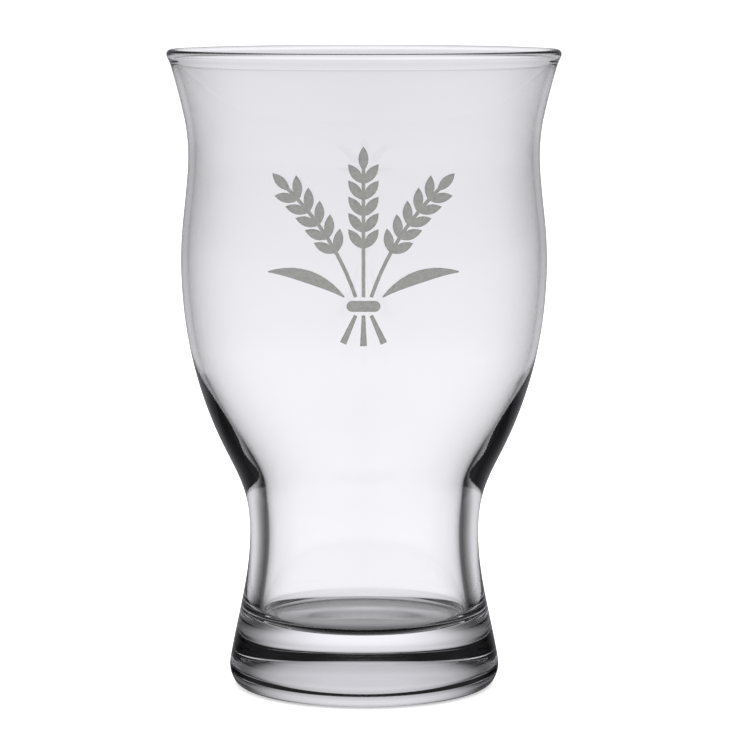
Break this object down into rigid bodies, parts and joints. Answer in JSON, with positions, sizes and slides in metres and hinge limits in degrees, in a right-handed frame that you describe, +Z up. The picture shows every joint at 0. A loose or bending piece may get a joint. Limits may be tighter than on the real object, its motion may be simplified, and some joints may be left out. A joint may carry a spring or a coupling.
{
  "type": "stackable beer glass",
  "caption": "Stackable clear beer glass with a thick solid foot, a drawn-in waist, a bellied bowl, an inner stacking ledge, a flared rounded lip and a grey printed barley sheaf.",
  "frame": {"origin": "middle of the ring-shaped face that the glass stands on", "axes": "+Z up along the axis of the glass, the printed front faces -Y"},
  "size_m": [0.09, 0.09, 0.1462],
  "materials": {
    "glass": "fire-polished moulded soda-lime glass, clear with a faint grey tint",
    "ink": "matt grey ceramic ink, screen printed and fired on"
  },
  "bodies": {
    "root": {"glass_body": "glass", "print_tie": "ink", "print_ear_left": "ink", "print_ear_middle": "ink", "print_ear_right": "ink", "print_leaf_left": "ink", "print_leaf_right": "ink", "print_stalk_left": "ink", "print_stalk_middle": "ink", "print_stalk_right": "ink"}
  },
  "joints": []
}
